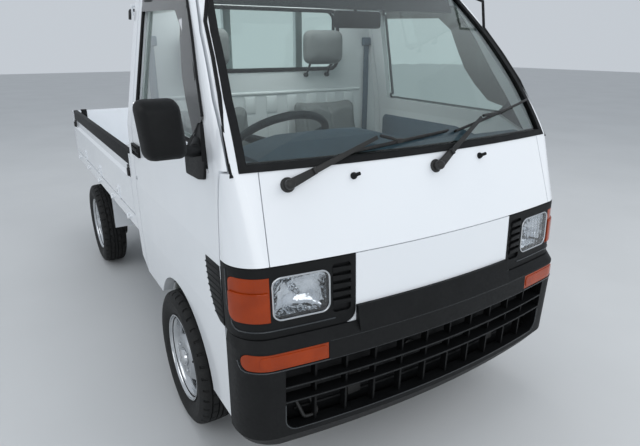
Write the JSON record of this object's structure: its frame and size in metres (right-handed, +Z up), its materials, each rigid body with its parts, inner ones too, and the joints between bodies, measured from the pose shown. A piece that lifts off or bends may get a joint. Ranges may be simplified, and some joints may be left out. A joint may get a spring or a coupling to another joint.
{
  "type": "small cab-over pickup truck",
  "caption": "Compact white cab-over utility truck, right-hand drive, with a black bumper, a flat load bed, drop sides and a guard frame behind the cab.",
  "frame": {"origin": "on the ground, midway along the length and midway across the width over the door mirror; the truck's own middle plane is at x = 0.07925", "axes": "-Y is the front of the truck, +Y its rear, +X its left side, +Z up"},
  "size_m": [1.5936, 3.2945, 1.742],
  "materials": {
    "white_paint": "gloss",
    "floor_paint": "satin",
    "black_plastic": "fine grain",
    "cabin_plastic": "grained",
    "black_rubber": "matte",
    "black_steel": "satin",
    "clear_lens": "clear",
    "amber_lens": "moulded lens",
    "red_lens": "moulded lens",
    "tinted_glass": "light green tint",
    "alloy": "satin",
    "cast_metal": "cast",
    "bare_steel": "dull",
    "seat_vinyl": "vinyl",
    "tyre_rubber": "matte",
    "silver_paint": "metallic"
  },
  "bodies": {
    "truck": {"cab_roof": "white_paint", "cab_back_wall": "white_paint", "cab_pillars": "white_paint", "front_panels": "white_paint", "bed_floor": "white_paint", "bed_frame": "white_paint", "guard_frame": "white_paint", "lamp_bezels": "black_plastic", "bumper": "black_plastic", "wipers": "black_steel", "windscreen_seal": "black_rubber", "headlamps": "clear_lens", "amber_lamps": "amber_lens", "tail_lamps": "red_lens", "cab_glass": "tinted_glass", "chassis_frame": "black_steel", "cab_floor": "floor_paint", "radiator": "alloy", "engine": "cast_metal", "rear_axle": "black_steel", "exhaust": "bare_steel", "fuel_tank": "black_steel", "front_suspension": "black_steel", "dashboard": "cabin_plastic", "seats": "seat_vinyl"},
    "door_left": {"door_left": "white_paint", "door_glass_left": "tinted_glass", "door_fittings_left": "black_plastic"},
    "door_right": {"door_right": "white_paint", "door_glass_right": "tinted_glass", "door_fittings_right": "black_plastic"},
    "steering_wheel": {"steering_wheel": "cabin_plastic"},
    "gate_left": {"gate_left": "white_paint"},
    "gate_right": {"gate_right": "white_paint"},
    "tail_gate": {"tail_gate": "white_paint"},
    "knuckle_left": {"knuckle_left": "cast_metal"},
    "knuckle_right": {"knuckle_right": "cast_metal"},
    "wheel_front_left": {"tyre_front_left": "tyre_rubber", "rim_front_left": "silver_paint"},
    "wheel_front_right": {"tyre_front_right": "tyre_rubber", "rim_front_right": "silver_paint"},
    "wheel_rear_left": {"tyre_rear_left": "tyre_rubber", "rim_rear_left": "silver_paint"},
    "wheel_rear_right": {"tyre_rear_right": "tyre_rubber", "rim_rear_right": "silver_paint"}
  },
  "joints": [
    {"name": "steering_turn", "type": "hinge", "parent": "truck", "child": "steering_wheel", "pos_m": [-0.18275, -0.975, 1.085], "axis": [0, 0.6157, 0.788], "range_deg": [-630, 630]},
    {"name": "steer_left", "type": "hinge", "parent": "truck", "child": "knuckle_left", "pos_m": [0.65925, -0.9575, 0.268], "axis": [0, 0, 1], "range_deg": [-36.2, 36.2]},
    {"name": "steer_right", "type": "hinge", "parent": "truck", "child": "knuckle_right", "pos_m": [-0.50075, -0.9575, 0.268], "axis": [0, 0, 1], "range_deg": [-36.2, 36.2]},
    {"name": "roll_front_left", "type": "hinge", "parent": "knuckle_left", "child": "wheel_front_left", "pos_m": [0.72425, -0.9575, 0.268], "axis": [1, 0, 0], "continuous": true},
    {"name": "roll_front_right", "type": "hinge", "parent": "knuckle_right", "child": "wheel_front_right", "pos_m": [-0.56575, -0.9575, 0.268], "axis": [1, 0, 0], "continuous": true},
    {"name": "roll_rear_left", "type": "hinge", "parent": "truck", "child": "wheel_rear_left", "pos_m": [0.72425, 0.9425, 0.268], "axis": [1, 0, 0], "continuous": true},
    {"name": "roll_rear_right", "type": "hinge", "parent": "truck", "child": "wheel_rear_right", "pos_m": [-0.56575, 0.9425, 0.268], "axis": [1, 0, 0], "continuous": true},
    {"name": "door_left_swing", "type": "hinge", "parent": "truck", "child": "door_left", "pos_m": [0.76925, -1.475, 1], "axis": [0, 0, -1], "range_deg": [0, 65]},
    {"name": "door_right_swing", "type": "hinge", "parent": "truck", "child": "door_right", "pos_m": [-0.61075, -1.475, 1], "axis": [0, 0, 1], "range_deg": [0, 65]},
    {"name": "gate_left_drop", "type": "hinge", "parent": "truck", "child": "gate_left", "pos_m": [0.77325, 0.65, 0.672], "axis": [0, 1, 0], "range_deg": [0, 170]},
    {"name": "gate_right_drop", "type": "hinge", "parent": "truck", "child": "gate_right", "pos_m": [-0.61475, 0.65, 0.672], "axis": [0, -1, 0], "range_deg": [0, 170]},
    {"name": "tail_gate_drop", "type": "hinge", "parent": "truck", "child": "tail_gate", "pos_m": [0.07925, 1.6435, 0.672], "axis": [-1, 0, 0], "range_deg": [0, 176]}
  ],
  "couplings": [
    {"joint": "steer_left", "follows": "steering_turn", "ratio": 0.057143},
    {"joint": "steer_right", "follows": "steering_turn", "ratio": 0.057143}
  ]
}
